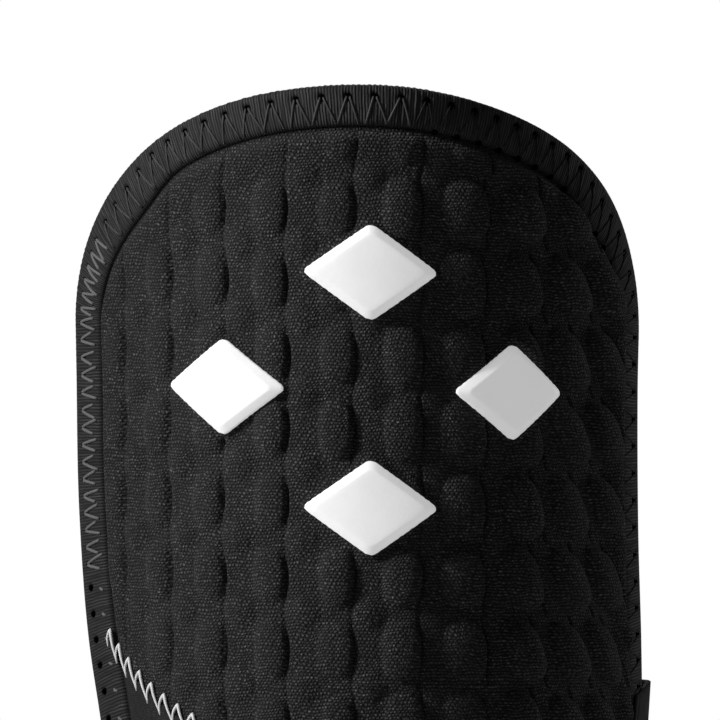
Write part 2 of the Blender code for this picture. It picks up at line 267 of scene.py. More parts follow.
def outer_outline(count):
    """The guard's outline on the flat drawing, from the middle of the hem round by the right."""
    turn = np.linspace(0, math.pi / 2, 40)
    climb = np.linspace(HEM_CORNER, HEIGHT - DOME_HEIGHT, 300)[1:-1]
    dome_turn = np.linspace(0, math.pi / 2, 400)
    dome = HEIGHT - DOME_HEIGHT * (1 - np.sin(dome_turn) ** (2 / DOME_POWER))
    halves = []
    for side in (1, -1):
        corner_rise = HEM_CORNER * (1 - np.cos(turn))
        corner = reach(HEM_CORNER, side) - HEM_CORNER * (1 - np.sin(turn))
        rise = np.concatenate([[0], corner_rise, climb, dome])
        girth = np.concatenate([[0], corner, reach(climb, side), reach(dome, side)])
        halves.append(np.stack([side * girth, rise], axis=-1))
    right, left = halves
    return resample(np.vstack([right[:-1], left[:0:-1]]), count)


def inset(outline, distance):
    """A closed line moved inward."""
    ahead = np.roll(outline, -1, axis=0) - np.roll(outline, 1, axis=0)
    ahead /= np.linalg.norm(ahead, axis=1, keepdims=True)
    inward = np.stack([-ahead[:, 1], ahead[:, 0]], axis=-1)
    return outline + inward * distance


def edge_distance(points, outline, chunk=4000):
    """How far points lie inside a closed line; points outside get less than 0."""
    found = []
    start = outline
    step = np.roll(outline, -1, axis=0) - outline
    size = (step**2).sum(-1)
    rise = np.where(step[:, 1] == 0, 1, step[:, 1])
    for first in range(0, len(points), chunk):
        part = points[first : first + chunk, None, :]
        offset = part - start[None]
        share = np.clip((offset * step).sum(-1) / size, 0, 1)
        gap = np.linalg.norm(offset - share[..., None] * step, axis=-1).min(axis=1)
        crosses = (start[:, 1] > part[..., 1]) != (start[:, 1] + step[:, 1] > part[..., 1])
        hit = crosses & (part[..., 0] < start[:, 0] + offset[..., 1] * step[:, 0] / rise)
        found.append(np.where(hit.sum(axis=1) % 2 == 1, gap, -gap))
    return np.concatenate(found)


def depth_inside(girth, rise, outline):
    """How far each point of a grid lies inside a closed line."""
    points = np.stack([girth.ravel(), rise.ravel()], axis=-1)
    return edge_distance(points, outline).reshape(girth.shape)


def tape_share(line):
    """How much of its plain width the tape has: it is pulled wider where it runs up the sides."""
    return 1 + SIDE_TAPE * ease((np.abs(line[:, 0]) - 60 * MM) / (22 * MM))


def inset_by(outline, distances):
    """A closed line moved inward by its own distance at each point."""
    return outline + (inset(outline, 1.0) - outline) * distances[:, None]


OUTLINE = outer_outline(360)
SEWN_LINE = inset_by(OUTLINE, (TAPE_WIDTH + GAP) * tape_share(OUTLINE))


def frame_shift():
    """Where the front line stands in the frame, from the edge binding's own box."""
    low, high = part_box("edge_binding")
    edge = wrap_round(OUTLINE[:, 0], OUTLINE[:, 1], -EDGE_DIP + GAP)
    across = (low[0] + high[0] - edge[:, 0].min() - edge[:, 0].max()) / 2
    return np.array([across, low[1] + EDGE_DIP - GAP - TAPE, 0])


FRONT_LINE = frame_shift()


def wrap(girth, rise, level):
    """Flat drawing to the frame."""
    return wrap_round(girth, rise, level) + FRONT_LINE


def wander(girth, rise, size, seed=0.0):
    """A slow even unevenness between about -1 and 1, with features of the given size."""
    x, y = girth / size, rise / size
    return (
        np.sin(x * 1.7 + 1.3 * seed + 1.1 * np.sin(y * 1.1 + seed))
        + np.sin(y * 1.9 + 2.1 * seed + 1.3 * np.sin(x * 0.9 + 0.7 * seed))
        + np.sin((x + y) * 1.3 + 3.7 * seed)
    ) / 3


def seam_rise(girth):
    """Height of the panel's upper seam: high at the left rim, level across the front."""
    return SEAM_LEVEL + SEAM_CLIMB * np.exp(-(girth + SEAM_LEFT) / SEAM_RUN)


def lozenge(steps_across, steps_up, count=96):
    """One lozenge's outline with rounded corners, on the flat drawing."""
    middle = np.array([
        EMBLEM_SHIFT + EMBLEM_SPREAD * steps_across,
        EMBLEM_RISE + EMBLEM_CLIMB * steps_up,
    ])
    corners = np.array([(1, 0), (0, 1), (-1, 0), (0, -1)]) * (LOZENGE_WIDTH, LOZENGE_HEIGHT)
    line = []
    neighbours = np.roll(corners, 1, axis=0), np.roll(corners, -1, axis=0)
    for corner, before, after in zip(corners, *neighbours):
        back = (before - corner) / np.linalg.norm(before - corner)
        on = (after - corner) / np.linalg.norm(after - corner)
        for share in np.linspace(0, 1, 9):
            line.append(corner + LOZENGE_ROUND * ((1 - share) ** 2 * back + share**2 * on))
    return middle + resample(np.array(line), count)


LOZENGE_LINES = {name: lozenge(across, up) for name, across, up in LOZENGES}


def cell_chance(column, row, seed):
    """A fixed number between -1 and 1 for each cell of the quilting."""
    value = np.sin(column * 12.9898 + row * 78.233 + seed * 37.719) * 43758.5453
    return 2 * (value - np.floor(value)) - 1


def puff(girth, rise, pinch):
    """Height of the quilting (0 in the valleys, 1 on the ovals) and depth of the creases.

    Pinch is 1 where the creases run straight into the binding.
    """
    warp = 0.6 * MM * wander(girth, rise, 22 * MM, 1.0)
    sway = 0.6 * MM * wander(girth, rise, 27 * MM, 2.0)
    column = (girth + warp - FIRST_COLUMN) / COLUMN_PITCH
    row = (rise + sway - FIRST_ROW) / ROW_PITCH
    row_place = np.round(row)
    up = row - row_place
    lean = SIDE_LEAN * ease((girth - 15 * MM) / (75 * MM))
    widen = WIDE_OVALS * ease((girth + 4 * MM) / (20 * MM))
    bend = 0.5 + 0.5 * np.cos(2 * math.pi * up)
    oval, crease = np.zeros_like(girth), np.zeros_like(girth)
    for beside in (-1, 0, 1):
        place = np.round(column) + beside, row_place
        across = column - place[0] + lean * up + 0.02 * cell_chance(*place, 1.0)
        across_oval = (across + widen) / (OVAL_HALF[0] + widen + 0.015 * cell_chance(*place, 2.0))
        up_oval = up / (OVAL_HALF[1] + 0.4 * widen + 0.02 * cell_chance(*place, 3.0))
        body = np.clip(1 - np.abs(across_oval) ** 2.4 - np.abs(up_oval) ** 2.6, 0, None)
        tall = 1 + 0.2 * cell_chance(*place, 4.0)
        side = np.clip(across_oval, -1, 1)
        oval = np.maximum(oval, tall * (0.95 + 0.12 * side) * body ** (0.7 - 0.2 * side - 1.6 * widen))
        line = np.exp(-(((across - 0.235 - 0.055 * np.maximum(bend, pinch)) / CREASE_WIDTH) ** 2))
        crease = np.maximum(crease, line * (0.60 + 0.40 * np.maximum(bend, pinch)))
    side, end = np.abs(np.abs(column - np.round(column)) - 0.5), np.abs(np.abs(up) - 0.5)
    neck = 1 - (side / NECK_HALF[0]) ** 1.4 - (end / NECK_HALF[1]) ** 1.4
    neck = np.clip(neck, 0, None) ** 0.7
    neck *= NECK_SHARE * (1 - 0.9 * ease((girth + 4 * MM) / (18 * MM)))
    return np.maximum(oval, neck * (1 - 0.6 * ease(lean / 0.6))), crease


def cover_level(girth, rise):
    """Level of the quilted cover's face, and the painted shade each point gets, deep in a crease or by the
    seam under the tape.
    """
    inside = depth_inside(girth, rise, SEWN_LINE)
    above = rise - seam_rise(girth) + SEAM_DROP
    run = ease((inside - 0.5 * MM) / PUFF_RUN) * ease(above / (8 * MM))
    pinch = 1 - ease((inside - PINCH_INSET) / PINCH_RUN)
    raised, crease = puff(girth, rise, pinch * (rise > PINCH_FROM))
    height = np.maximum(raised, SHOULDER * pinch) - CREASE_SHARE * crease
    height *= PUFF_HEIGHT * (1 + 0.18 * wander(girth, rise, 30 * MM, 3.0))
    height *= 1 + SIDE_PUFF * ease((girth - 18 * MM) / (30 * MM))
    for line in LOZENGE_LINES.values():
        held = ease(1 + depth_inside(girth, rise, line) / HELD_ROUND)
        height = height * (1 - held) + (EMBLEM_SEAT - GAP) * held
    swell = 0.30 * MM * wander(girth, rise, 9 * MM, 4.0)
    level = -EDGE_DIP * (1 - ease(inside / PUFF_RUN)) + (height + swell) * run
    # Painted shade: the creases and a strip along the tape's edge get dark paint, where shade falls.
    shade = np.maximum(crease * run, 0.8 * (1 - ease(inside / (1.3 * MM))))
    return level, shade


def inner_level(girth, rise):
    """Level of the shell's inner face: smooth, and nearer to the outer face at the rim."""
    run = ease(depth_inside(girth, rise, SEWN_LINE) / (7 * MM))
    return -EDGE_DIP - EDGE_WALL - (WALL - EDGE_WALL - EDGE_DIP) * run


def grid_piece(name, points, drawing, material, keep=None, flip=False, extra=None):
    """A mesh over a grid of points, with the flat drawing as its UV map in millimetres."""
    rows, columns = points.shape[:2]
    number = np.arange(rows * columns).reshape(rows, columns)
    quads = np.stack([number[:-1, :-1], number[1:, :-1], number[1:, 1:], number[:-1, 1:]], axis=-1)
    if keep is not None:
        whole = keep[:-1, :-1] & keep[1:, :-1] & keep[1:, 1:] & keep[:-1, 1:]
        quads = quads[whole]
    quads = quads.reshape(-1, 4)
    if flip:
        quads = quads[:, ::-1]
    used, quads = np.unique(quads, return_inverse=True)
    quads = quads.reshape(-1, 4)
    mesh = bpy.data.meshes.new(name)
    mesh.from_pydata(points.reshape(-1, 3)[used].tolist(), [], quads.tolist())
    add_drawing(mesh, "flat_drawing", drawing.reshape(-1, 2)[used] / MM)
    if extra is not None:
        label, values = extra
        add_drawing(mesh, label, values.reshape(-1, 2)[used])
    join_seams(mesh)
    mesh.shade_smooth()
    return place_piece(name, mesh, material)


def add_drawing(mesh, name, values):
    """A UV map from two values for each point."""
    layer = mesh.uv_layers.new(name=name)
    corners = np.zeros(len(mesh.loops), np.int32)
    mesh.loops.foreach_get("vertex_index", corners)
    layer.data.foreach_set("uv", values[corners].astype(np.float32).ravel())


def join_seams(mesh):
    """Joins points that lie in one place, where a surface closes on itself."""
    form = bmesh.new()
    form.from_mesh(mesh)
    bmesh.ops.remove_doubles(form, verts=form.verts, dist=0.0005 * MM)
    form.to_mesh(mesh)
    form.free()


def place_piece(name, mesh, material):
    """A mesh as a piece that rides on the guard."""
    mesh.materials.append(material)
    piece = bpy.data.objects.new(name, mesh)
    bpy.context.scene.collection.objects.link(piece)
    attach(piece, "root")
    return piece


# Threads


def tube(path, radius, sides=6):
    """Points and faces of one thread along a path. The radius may change along it."""
    path = np.asarray(path)
    radius = np.broadcast_to(radius, len(path))
    ahead = np.gradient(path, axis=0)
    ahead /= np.linalg.norm(ahead, axis=1, keepdims=True)
    up = np.array([0.03, 0.05, 1.0])
    side = np.cross(ahead, up)
    side /= np.linalg.norm(side, axis=1, keepdims=True)
    over = np.cross(side, ahead)
    turn = np.linspace(0, 2 * math.pi, sides, endpoint=False)
    ring = side[:, None] * np.cos(turn)[:, None] + over[:, None] * np.sin(turn)[:, None]
    points = (path[:, None] + radius[:, None, None] * ring).reshape(-1, 3)
    faces = []
    for k in range(len(path) - 1):
        for j in range(sides):
            n = (j + 1) % sides
            faces.append((k * sides + j, k * sides + n, (k + 1) * sides + n, (k + 1) * sides + j))
    faces.append(tuple(range(sides))[::-1])
    faces.append(tuple((len(path) - 1) * sides + j for j in range(sides)))
    return points, faces


def thread_piece(name, paths, radius, material, sides=6):
    """All the stitches of one seam as one mesh."""
    points, faces, count = [], [], 0
    for path in paths:
        more, around = tube(path, radius, sides)
        points.append(more)
        faces += [tuple(k + count for k in face) for face in around]
        count += len(more)
    mesh = bpy.data.meshes.new(name)
    mesh.from_pydata(np.vstack(points).tolist(), [], faces)
    mesh.shade_smooth()
    return place_piece(name, mesh, material)


# Materials


class Nodes:
    """A node tree that is filled with short calls."""

    def __init__(self, tree):
        self.tree = tree

    def add(self, kind, values=(), **settings):
        node = self.tree.nodes.new(kind)
        for key, value in settings.items():
            setattr(node, key, value)
        for key, value in dict(values).items():
            self.feed(node.inputs[key], value)
        return node

    def feed(self, socket, value):
        if isinstance(value, bpy.types.NodeSocket):
            self.tree.links.new(value, socket)
        else:
            socket.default_value = value

    def maths(self, operation, *values, clamp=False):
        node = self.add("ShaderNodeMath", enumerate(values), operation=operation, use_clamp=clamp)
        return node.outputs[0]

    def mix(self, share, one, other):
        node = self.add("ShaderNodeMix", data_type="RGBA")
        self.feed(node.inputs[0], share)
        self.feed(node.inputs[6], one)
        self.feed(node.inputs[7], other)
        return node.outputs[2]

    def span(self, value, low, high, start=0.0, end=1.0):
        values = {"Value": value, "From Min": low, "From Max": high, "To Min": start, "To Max": end}
        return self.add("ShaderNodeMapRange", values).outputs[0]


def effect_group(name, inputs, outputs):
    """An empty node group with named inputs (name and value) and outputs."""
    tree = bpy.data.node_groups.new(name, "ShaderNodeTree")
    for label, value in inputs:
        socket = tree.interface.new_socket(label, in_out="INPUT", socket_type="NodeSocketFloat")
        socket.default_value = value
    for label in outputs:
        tree.interface.new_socket(label, in_out="OUTPUT", socket_type="NodeSocketFloat")
    made = Nodes(tree)
    source = made.add("NodeGroupInput")
    sink = made.add("NodeGroupOutput")
    return made, source.outputs, sink.inputs


def drawing_lines(made, name="flat_drawing"):
    """The two coordinates of a UV map."""
    place = made.add("ShaderNodeUVMap", uv_map=name)
    parts = made.add("ShaderNodeSeparateXYZ", {"Vector": place.outputs[0]})
    return parts.outputs[0], parts.outputs[1], place.outputs[0]


def wave(made, value, pitch):
    """0 to 1 and back, once each pitch."""
    turns = made.maths("MULTIPLY", made.maths("DIVIDE", value, pitch), 2 * math.pi)
    return made.maths("MULTIPLY_ADD", made.maths("COSINE", turns), 0.5, 0.5)


def fine_knit_group():
    """Knit loops in rows with uneven tension: a mask with a lit dot on each loop, which the cloth paints,
    and a mask of painted glints.
    """
    made, given, wanted = effect_group(
        "fine_knit",
        (("Wale Pitch", 0.95), ("Row Pitch", 0.92), ("Unevenness", 2.4)),
        ("Loop", "Height", "Painted Glint"),
    )
    across, up, place = drawing_lines(made)
    drift = made.add("ShaderNodeTexNoise", {"Vector": place, "Scale": 0.22, "Detail": 3.0})
    shift = made.maths("MULTIPLY", made.maths("SUBTRACT", drift.outputs[0], 0.5), given["Unevenness"])
    across = made.maths("ADD", across, shift)
    up = made.maths("SUBTRACT", up, made.maths("MULTIPLY", shift, 0.9))
    number = made.maths("FLOOR", made.maths("ADD", made.maths("DIVIDE", up, given["Row Pitch"]), 0.5))
    odd = made.maths("MULTIPLY", made.maths("MODULO", number, 2.0), 0.5)
    across = made.maths("ADD", across, made.maths("MULTIPLY", odd, given["Wale Pitch"]))
    wale = wave(made, across, given["Wale Pitch"])
    row = wave(made, up, given["Row Pitch"])
    loop = made.maths("MULTIPLY", made.maths("POWER", wale, 0.45), made.maths("POWER", row, 0.85))
    grain = made.add("ShaderNodeTexNoise", {"Vector": place, "Scale": 0.9, "Detail": 2.0})
    patch = made.add("ShaderNodeTexNoise", {"Vector": place, "Scale": 0.13, "Detail": 1.0})
    # Painted glints come in patches: this noise says where loops are painted bright, as if they caught the
    # light.
    pulled = made.span(patch.outputs[0], 0.35, 0.65, 0.35, 1.0)
    lit = made.maths("MULTIPLY", made.span(grain.outputs[0], 0.46, 0.70), pulled)
    loop = made.maths("MULTIPLY", loop, made.span(grain.outputs[0], 0.34, 0.62, 0.28, 1.0))
    made.feed(wanted["Loop"], loop)
    made.feed(wanted["Height"], loop)
    made.feed(wanted["Painted Glint"], made.maths("MULTIPLY", loop, lit))
    return made.tree


def ribs_group():
    """Fine ribs across a tape, with thicker and thinner yarns."""
    made, given, wanted = effect_group("tape_ribs", (("Rib Pitch", 1.15), ("Waver", 0.6)), ("Rib", "Height"))
    along, _, place = drawing_lines(made)
    drift = made.add("ShaderNodeTexNoise", {"Vector": place, "Scale": 0.25, "Detail": 2.0})
    shift = made.maths("MULTIPLY", made.maths("SUBTRACT", drift.outputs[0], 0.5), given["Waver"])
    rib = wave(made, made.maths("ADD", along, shift), given["Rib Pitch"])
    stretch = made.add("ShaderNodeMapping", {"Vector": place, "Scale": (1.0, 0.12, 1.0)})
    yarns = made.add("ShaderNodeTexNoise", {"Vector": stretch.outputs[0], "Scale": 0.9, "Detail": 3.0})
    uneven = made.span(yarns.outputs[0], 0.32, 0.68, 0.12, 1.0)
    made.feed(wanted["Rib"], made.maths("MULTIPLY", rib, uneven))
    made.feed(wanted["Height"], made.maths("MULTIPLY", rib, uneven))
    return made.tree


def fading_group():
    """Slow colour change, from wear and light."""
    made, given, wanted = effect_group("fading", (("Size", 30.0),), ("Fade",))
    _, _, place = drawing_lines(made)
    scale = made.maths("DIVIDE", 1.0, given["Size"])
    cloud = made.add("ShaderNodeTexNoise", {"Vector": place, "Scale": scale, "Detail": 3.0})
    made.feed(wanted["Fade"], made.span(cloud.outputs[0], 0.3, 0.7))
    return made.tree


FINE_KNIT = fine_knit_group()
TAPE_RIBS = ribs_group()
FADING = fading_group()


def start_material(name):
    """A material with its Principled shader, and short calls to fill it."""
    material = bpy.data.materials.new(name)
    material.use_nodes = True
    made = Nodes(material.node_tree)
    shader = material.node_tree.nodes["Principled BSDF"]
    return material, made, shader


def place_group(made, group, **values):
    """A node group in a material, with its inputs set. Returns its outputs."""
    node = made.add("ShaderNodeGroup", node_tree=group)
    for key, value in values.items():
        made.feed(node.inputs[key.replace("_", " ")], value)
    return node.outputs


def grey(value):
    """A grey as a colour with full cover."""
    return (value, value, value, 1)


def set_cloth(shader, roughness, sheen):
    """The dull shine of cloth."""
    shader.inputs["Roughness"].default_value = roughness
    shader.inputs["Sheen Weight"].default_value = sheen
    shader.inputs["Sheen Roughness"].default_value = 0.4
    shader.inputs["Specular IOR Level"].default_value = 0.28


def knit_material(name, dark, light, glint, depth, wale=0.95, row=0.92, sheen=0.05):
    """Knit cloth: dark gaps and lighter loops, partly the knit's own pattern and partly painted shade in the
    gaps and painted light on the loops, and painted glints on a few loops that catch the light.
    """
    material, made, shader = start_material(name)
    knit = place_group(made, FINE_KNIT, Wale_Pitch=wale, Row_Pitch=row)
    fade = place_group(made, FADING, Size=28.0)
    # Loops painted lighter than the gaps: partly the knit's own pattern, partly painted light and shade on
    # the loop relief.
    loops = made.mix(knit["Loop"], grey(dark), grey(light))
    faded = made.mix(made.maths("MULTIPLY", fade["Fade"], 0.2), loops, grey(light * 0.8))
    # Painted glints: a few loops painted bright as if they caught the light.
    colour = made.mix(made.maths("MULTIPLY", knit["Painted Glint"], 0.8), faded, grey(glint))
    made.feed(shader.inputs["Base Color"], colour)
    set_cloth(shader, 0.8, sheen)
    made.feed(shader.inputs["Roughness"], made.span(knit["Loop"], 0, 1, 0.9, 0.58))
    add_bump(made, shader, knit["Height"], depth, 0.9)
    return material


def tape_material(name, dark, light, depth, pitch):
    """Ribbed tape: rib crests painted lighter and the troughs darker, partly the weave's own tone and partly
    painted light on the ridges and painted shade between them.
    """
    material, made, shader = start_material(name)
    ribs = place_group(made, TAPE_RIBS, Rib_Pitch=pitch)
    fade = place_group(made, FADING, Size=14.0)
    # Rib crests lighter than the troughs: partly painted light and shade on the rib relief.
    colour = made.mix(ribs["Rib"], grey(dark), grey(light))
    faded = made.mix(made.maths("MULTIPLY", fade["Fade"], 0.15), colour, grey(light * 0.7))
    made.feed(shader.inputs["Base Color"], faded)
    set_cloth(shader, 0.7, 0.04)
    made.feed(shader.inputs["Roughness"], made.span(ribs["Rib"], 0, 1, 0.85, 0.55))
    add_bump(made, shader, ribs["Height"], depth, 0.8)
    return material


def add_bump(made, shader, height, distance, strength):
    """Fine relief from a height, in metres."""
    values = {"Height": height, "Distance": distance, "Strength": strength}
    made.feed(shader.inputs["Normal"], made.add("ShaderNodeBump", values).outputs[0])


def crease_shade(material):
    """Painted shade: darker cloth colour down in the creases and along the tape's edge, where shade falls.
    """
    made = Nodes(material.node_tree)
    shader = material.node_tree.nodes["Principled BSDF"]
    depth, _, _ = drawing_lines(made, "painted_crease_shade")
    cloth = shader.inputs["Base Color"].links[0].from_socket
    share = made.span(depth, 0.15, 0.9, 0.0, 0.8)
    made.feed(shader.inputs["Base Color"], made.mix(share, cloth, grey(0.001)))


def needle_hole_shade(material, dark):
    """Painted shade: darker tape colour round the needle holes, where the holes lie in shade, added to a
    tape material.
    """
    made = Nodes(material.node_tree)
    shader = material.node_tree.nodes["Principled BSDF"]
    count, distance, _ = drawing_lines(made, "stitch_count")
    from_middle = made.maths("SUBTRACT", made.maths("FRACT", count), 0.5)
    along = made.maths("ABSOLUTE", made.maths("MULTIPLY", from_middle, HOLE_SPAN / MM))
    down = made.maths("ABSOLUTE", distance)
    squares = made.maths("ADD", made.maths("POWER", along, 2.0), made.maths("POWER", down, 2.0))
    away = made.maths("SQRT", squares)
    hole = made.span(away, 0.95, 1.45, 1.0, 0.0)
    cloth = shader.inputs["Base Color"].links[0].from_socket
    made.feed(shader.inputs["Base Color"], made.mix(hole, cloth, grey(dark)))


def thread_material(name, colour, roughness):
    """Twisted sewing thread."""
    material, made, shader = start_material(name)
    place = made.add("ShaderNodeTexCoord")
    twist = made.add("ShaderNodeTexNoise", {"Vector": place.outputs["Object"], "Scale": 2600.0})
    shade = made.mix(twist.outputs[0], grey(colour * 0.72), grey(colour))
    made.feed(shader.inputs["Base Color"], shade)
    set_cloth(shader, roughness, 0.1)
    add_bump(made, shader, twist.outputs[0], 0.1 * MM, 0.6)
    return material


def hole_shade_material():
    """Painted shade: a matt black for the beads that stand in for the shade inside a needle hole."""
    material, _, shader = start_material("needle_hole_painted_shade")
    shader.inputs["Base Color"].default_value = grey(0.0008)
    shader.inputs["Roughness"].default_value = 1.0
    shader.inputs["Specular IOR Level"].default_value = 0.0
    return material


def emblem_material():
    """White moulded rubber with a faint skin texture, and a painted glow that keeps it bright on its shaded
    side too.
    """
    material, made, shader = start_material("moulded_white")
    place = made.add("ShaderNodeTexCoord")
    spot = place.outputs["Object"]
    skin = made.add("ShaderNodeTexNoise", {"Vector": spot, "Scale": 900.0, "Detail": 4.0})
    cloud = made.add("ShaderNodeTexNoise", {"Vector": spot, "Scale": 120.0, "Detail": 2.0})
    shade = made.mix(made.span(cloud.outputs[0], 0.35, 0.7), grey(0.62), grey(0.56))
    made.feed(shader.inputs["Base Color"], shade)
    # Painted light: a faint white glow, though the rubber gives no light, so the emblem reads evenly white
    # on its shaded side too.
    shader.inputs["Emission Color"].default_value = grey(1.0)
    shader.inputs["Emission Strength"].default_value = 0.4
    made.feed(shader.inputs["Roughness"], made.span(skin.outputs[0], 0.3, 0.7, 0.34, 0.5))
    add_bump(made, shader, skin.outputs[0], 0.08 * MM, 0.5)
    return material


# Pieces


def quilted_cover():
    """The knit over the quilting, down to the panel's seam."""
    across = np.arange(-HALF_GIRTH * 1.03, HALF_GIRTH * 1.05, COVER_STEPS[0])
    steps = np.arange(0, HEIGHT - 140 * MM, COVER_STEPS[1])
    girth = np.repeat(across[None], len(steps), axis=0)
    rise = seam_rise(girth) - SEAM_DROP + steps[:, None]
    keep = depth_inside(girth, rise, OUTLINE) > CLOTH_INSET
    level, shade = cover_level(girth, rise)
    place = wrap(girth, rise, level)
    cloth = knit_material("quilted_knit_cloth", 0.0008, 0.037, 0.19, 0.00075, wale=1.08, row=0.86)
    # Painted shade in the creases and along the tape's edge.
    crease_shade(cloth)
    drawing = np.stack([girth, rise], axis=-1)
    shades = np.stack([shade, np.zeros_like(shade)], axis=-1)
    piece = grid_piece("quilted_cover", place, drawing, cloth, keep, flip=True,
                       extra=("painted_crease_shade", shades))
    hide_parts("quilted_shell")


def shell_lining():
    """The mesh cloth inside the shell."""
    step = 2.4 * MM
    across = np.arange(-HALF_GIRTH * 1.08, HALF_GIRTH * 1.08, step)
    up = np.arange(0, HEIGHT, step)
    girth, rise = np.meshgrid(across, up)
    keep = depth_inside(girth, rise, OUTLINE) > LINING_INSET
    place = wrap(girth, rise, inner_level(girth, rise))
    cloth = knit_material("lining_mesh", 0.004, 0.022, 0.05, 0.0004, wale=2.4, row=2.2)
    drawing = np.stack([girth, rise], axis=-1)
    grid_piece("shell_lining", place, drawing, cloth, keep)


def lower_panel():
    """The smooth cloth from the seam down to the hem."""
    across = np.arange(-HALF_GIRTH * 1.06, HALF_GIRTH * 1.07, 1.5 * MM)
    share = np.linspace(0, 1, 110)[:, None]
    girth = np.repeat(across[None], len(share), axis=0)
    rise = PANEL_LOW + (seam_rise(girth) - SEAM_DROP - PANEL_LOW) * share
    keep = depth_inside(girth, rise, OUTLINE) > CLOTH_INSET
    swell = 0.15 * MM * wander(girth, rise, 16 * MM, 5.0)
    inside = depth_inside(girth, rise, SEWN_LINE)
    level = (0.3 * MM + swell) * ease(inside / (4 * MM)) - EDGE_DIP * (1 - ease(inside / (3 * MM)))
    place = wrap(girth, rise, level)
    cloth = knit_material("smooth_knit_cloth", 0.006, 0.013, 0.035, 0.00008, wale=0.6, row=0.55)
    drawing = np.stack([girth, rise], axis=-1)
    piece = grid_piece("panel_cloth", place, drawing, cloth, keep, flip=True)
    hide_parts("lower_panel")


def tape_front_level(distance):
    """Level of the tape's front face at a distance from the guard's outline."""
    crown = 0.55 * MM * np.sin(np.clip(distance / TAPE_WIDTH, 0, 1) * math.pi) ** 0.7
    hem = 0.5 * MM * (1 - ease((TAPE_WIDTH - distance) / (1.2 * MM)))
    return -EDGE_DIP + GAP + TAPE * 0.75 + crown - hem


def binding_profile():
    """Distance and level of the points over the tape, from its front inner edge round to its back one."""
    front = np.linspace(TAPE_WIDTH, TAPE_ROUND, 15)
    profile = [(TAPE_WIDTH + 0.1 * MM, -EDGE_DIP - 0.5 * MM)]
    profile += [(d, tape_front_level(d)) for d in front]
    top = tape_front_level(TAPE_ROUND)
    bottom = -EDGE_DIP - EDGE_WALL - GAP - TAPE * 0.8
    middle, half = (top + bottom) / 2, (top - bottom) / 2
    for turn in np.linspace(0, math.pi, 9)[1:-1]:
        profile.append((TAPE_ROUND * (1 - np.sin(turn)), middle + half * np.cos(turn)))
    back = np.linspace(TAPE_ROUND, TAPE_WIDTH, 9)
    profile += [(d, bottom - 0.3 * MM * math.sin(d / TAPE_WIDTH * math.pi)) for d in back]
    profile.append((TAPE_WIDTH + 0.1 * MM, bottom + 0.9 * MM))
    return np.array(profile)


def stitch_counts(line):
    """How many stitches lie before each point of the outline: closer ones along the upper left edge."""
    steps = np.linalg.norm(np.diff(closed_line(line), axis=0), axis=1)
    close = (line[:, 0] < -80 * MM) & (line[:, 1] > CLOSE_FROM) & (line[:, 1] < CLOSE_TO)
    pitch = np.where(close, CLOSE_STITCH, STITCH)
    return np.concatenate([[0], np.cumsum(steps / pitch)])


def rib_height(run):
    """Height of the tape's ribs along it, from 0 to 1: uneven in pitch and in height."""
    turns = run / RIB_PITCH + 0.35 * np.sin(run / (7 * MM)) + 0.3 * np.sin(run / (17 * MM) + 2)
    chance = cell_chance(np.round(turns), 0, 5.0)
    return (0.5 + 0.5 * np.cos(2 * math.pi * turns)) * (0.7 + 0.3 * chance)


def needle_inset(line):
    """How far inside the guard's edge the needle holes lie."""
    return NEEDLE_INSET * (1 + 0.4 * ease((np.abs(line[:, 0]) - 66 * MM) / (18 * MM)))


def needle_dimple(counts, distance):
    """Depth of the dimples round the needle holes, from the distance to the holes' line."""
    along = (counts - np.floor(counts) - 0.5) * HOLE_SPAN
    return DIMPLE_DEPTH * np.exp(-(np.hypot(along, distance) / DIMPLE_RADIUS) ** 2)


def edge_binding():
    """The ribbed tape round the rim. Returns its line and the stitch count at each point of it."""
    line = outer_outline(TAPE_STATIONS)
    closed = closed_line(line)
    run = line_lengths(closed)
    profile = binding_profile()
    counts = stitch_counts(line)
    across = line_lengths(profile)
    rows, drawing, stitches = [], [], []
    ribs = rib_height(run) * (0.12 + 0.88 * ease((closed[:, 1] - 245 * MM) / (40 * MM)))
    ribs *= 1 - 0.7 * ease((closed[:, 0] - 8 * MM) / (35 * MM))
    for (distance, level), width in zip(profile, across):
        raised = RIB_HEIGHT * ribs[:-1] * ease((TAPE_WIDTH - distance) / MM)
        hole = needle_dimple(counts, distance - needle_inset(closed))
        front = width < across[len(profile) // 2]
        edge = 1 - ease(distance / (2 * MM))
        moved = closed_line(inset_by(line, distance * tape_share(line) - raised * edge))
        lift = np.append(raised, raised[:1]) * (1 - edge)
        lift = lift - hole if front else -lift
        rows.append(wrap(moved[:, 0], moved[:, 1], level + lift))
        drawing.append(np.stack([run, np.full(len(run), width)], axis=-1))
        from_hole = (distance - needle_inset(closed)) / MM
        stitches.append(np.stack([counts, from_hole], axis=-1))
    points = np.stack(rows)
    points[..., 2] = np.maximum(points[..., 2], 0)
    cloth = tape_material("ribbed_tape_cloth", 0.002, 0.048, 0.0003, 0.83)
    # Painted shade: darker tape round the needle holes.
    needle_hole_shade(cloth, 0.001)
    piece = grid_piece("binding_tape", points, np.stack(drawing), cloth,
                       extra=("stitch_count", np.stack(stitches)))
    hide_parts("edge_binding")
    return line, counts


def read_line(place, counts, line):
    """A line's value at places given as stitch counts."""
    return np.stack([np.interp(place, counts, line[:, k]) for k in range(line.shape[1])], axis=-1)


def on_tape(place, distance, lift, closed, counts, inward):
    """Points over the tape, at stitch counts, distances from the rim and lifts off the tape's face."""
    base = read_line(place, counts, closed)
    drawn = base + read_line(place, counts, inward) * (distance * tape_share(base))[:, None]
    return wrap(drawn[:, 0], drawn[:, 1], tape_front_level(distance) + lift)


